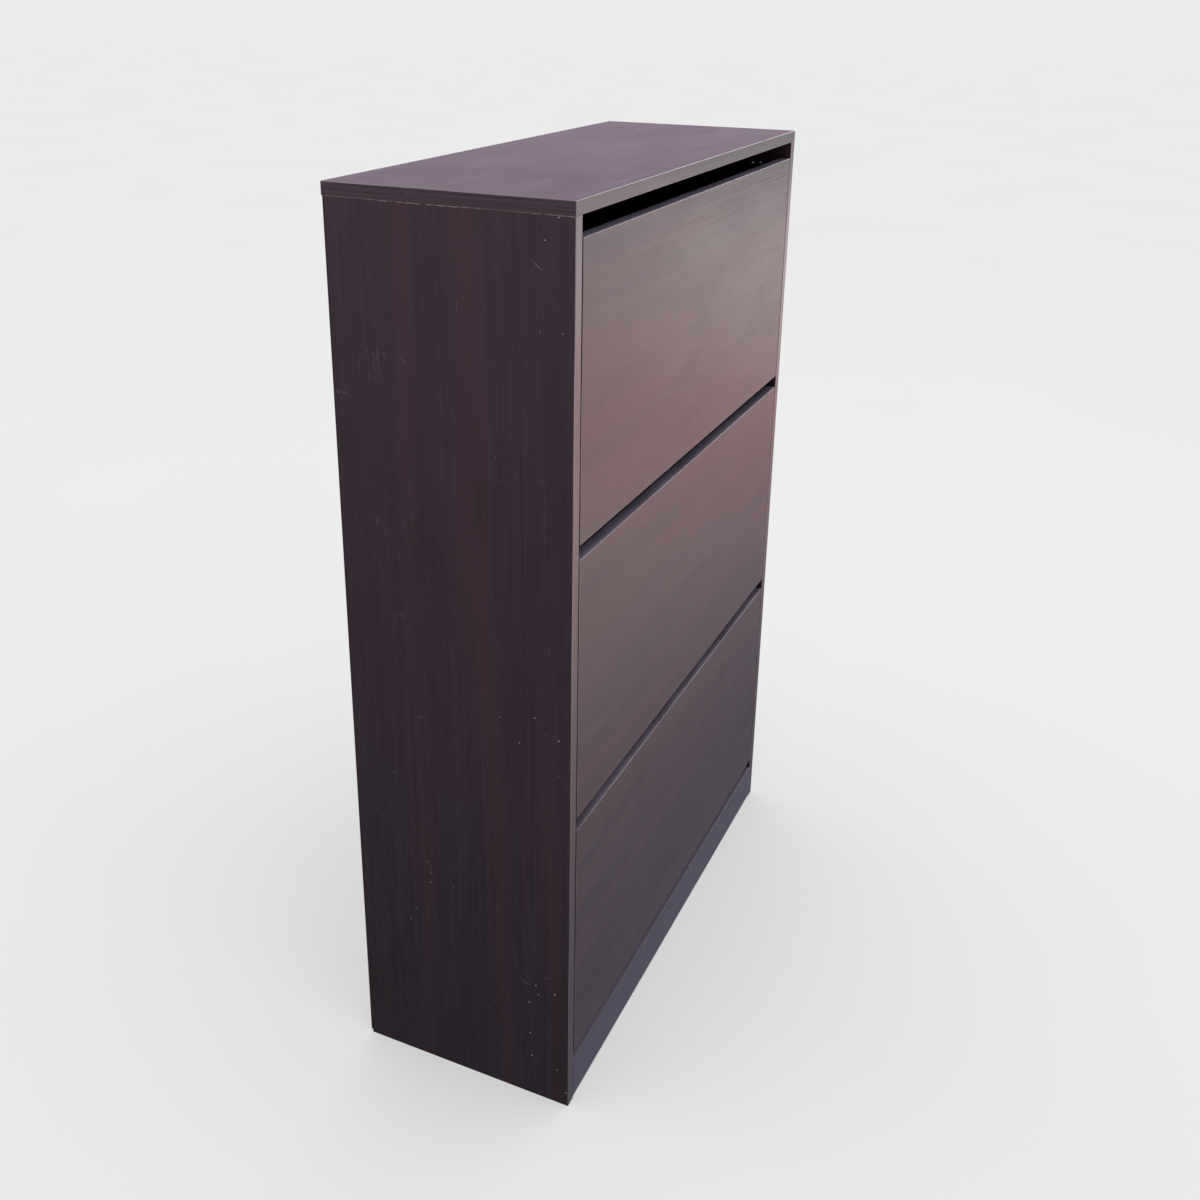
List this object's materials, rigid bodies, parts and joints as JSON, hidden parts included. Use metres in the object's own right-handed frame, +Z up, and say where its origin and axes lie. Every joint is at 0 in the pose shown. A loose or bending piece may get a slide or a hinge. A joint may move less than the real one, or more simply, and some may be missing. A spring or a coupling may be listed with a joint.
{
  "type": "shoe cabinet",
  "caption": "Free-standing tip-out shoe cabinet in dark wood laminate; tilting flap doors carry two-row shoe buckets between full-height side panels.",
  "frame": {"origin": "on the floor, in the middle of the footprint", "axes": "+Z up, +Y from the doors to the back, +X to the right seen from the front"},
  "size_m": [0.806, 0.312, 1.2],
  "materials": {
    "laminate": "semi-gloss",
    "edging": "satin",
    "shelf_board": "satin",
    "hardboard": "matt",
    "black_plastic": "matt",
    "zinc_plated_steel": "satin",
    "cast_zinc": "satin",
    "beech": "matt"
  },
  "bodies": {
    "cabinet": {"left_side_panel": "laminate", "right_side_panel": "laminate", "top_panel": "laminate", "bottom_panel": "laminate", "plinth": "laminate", "left_side_edging": "edging", "right_side_edging": "edging", "top_panel_edging": "edging", "rear_top_rail": "laminate", "rear_middle_rail": "laminate", "upper_back_panel": "hardboard", "lower_back_panel": "hardboard", "back_panel_nails": "zinc_plated_steel", "cam_discs": "cast_zinc", "cam_bolts": "zinc_plated_steel", "wood_dowels": "beech", "plinth_blocks": "black_plastic", "plinth_block_screws": "zinc_plated_steel", "wall_brackets": "zinc_plated_steel", "wall_bracket_screws": "zinc_plated_steel", "pivot_bushes": "black_plastic", "stop_pegs": "zinc_plated_steel", "upper_magnetic_catch": "black_plastic", "middle_magnetic_catch": "black_plastic", "lower_magnetic_catch": "black_plastic", "catch_screws": "zinc_plated_steel"},
    "upper_flap": {"upper_door_panel": "laminate", "upper_door_edging": "edging", "upper_left_bracket": "black_plastic", "upper_right_bracket": "black_plastic", "upper_front_shelf": "shelf_board", "upper_divider": "shelf_board", "upper_rear_shelf": "shelf_board", "upper_rear_board": "shelf_board", "upper_pivot_pins": "zinc_plated_steel", "upper_strike_plate": "zinc_plated_steel", "upper_door_screws": "zinc_plated_steel"},
    "middle_flap": {"middle_door_panel": "laminate", "middle_door_edging": "edging", "middle_left_bracket": "black_plastic", "middle_right_bracket": "black_plastic", "middle_front_shelf": "shelf_board", "middle_divider": "shelf_board", "middle_rear_shelf": "shelf_board", "middle_rear_board": "shelf_board", "middle_pivot_pins": "zinc_plated_steel", "middle_strike_plate": "zinc_plated_steel", "middle_door_screws": "zinc_plated_steel"},
    "lower_flap": {"lower_door_panel": "laminate", "lower_door_edging": "edging", "lower_left_bracket": "black_plastic", "lower_right_bracket": "black_plastic", "lower_front_shelf": "shelf_board", "lower_divider": "shelf_board", "lower_rear_shelf": "shelf_board", "lower_rear_board": "shelf_board", "lower_pivot_pins": "zinc_plated_steel", "lower_strike_plate": "zinc_plated_steel", "lower_door_screws": "zinc_plated_steel"}
  },
  "joints": [
    {"name": "upper_flap_tilt", "type": "hinge", "parent": "cabinet", "child": "upper_flap", "pos_m": [0, -0.126, 0.842], "axis": [1, 0, 0], "range_deg": [0, 45]},
    {"name": "middle_flap_tilt", "type": "hinge", "parent": "cabinet", "child": "middle_flap", "pos_m": [0, -0.126, 0.476], "axis": [1, 0, 0], "range_deg": [0, 45]},
    {"name": "lower_flap_tilt", "type": "hinge", "parent": "cabinet", "child": "lower_flap", "pos_m": [0, -0.126, 0.11], "axis": [1, 0, 0], "range_deg": [0, 45]}
  ]
}
